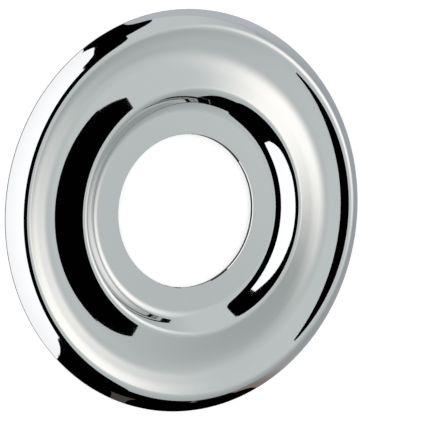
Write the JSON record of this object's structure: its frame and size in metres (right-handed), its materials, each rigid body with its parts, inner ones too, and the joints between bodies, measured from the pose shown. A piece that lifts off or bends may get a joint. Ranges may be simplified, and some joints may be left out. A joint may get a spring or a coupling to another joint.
{
  "type": "pipe escutcheon",
  "caption": "Round chrome-plated cover plate with a plain pipe hole in a flat recessed seat, a raised ridge, a shallow dish and a rounded rim that meets the wall.",
  "frame": {"origin": "on the axis of the pipe hole, in the plane of the wall that the back edge rests on", "axes": "+Z along the pipe, out of the wall, so the bright front face points up; the plate is round, so X and Y are free"},
  "size_m": [0.1016, 0.1016, 0.0053],
  "materials": {
    "chrome_plate": "mirror-polished chrome plating over pressed sheet brass, duller on the back"
  },
  "bodies": {
    "root": {"escutcheon": "chrome_plate"}
  },
  "joints": []
}
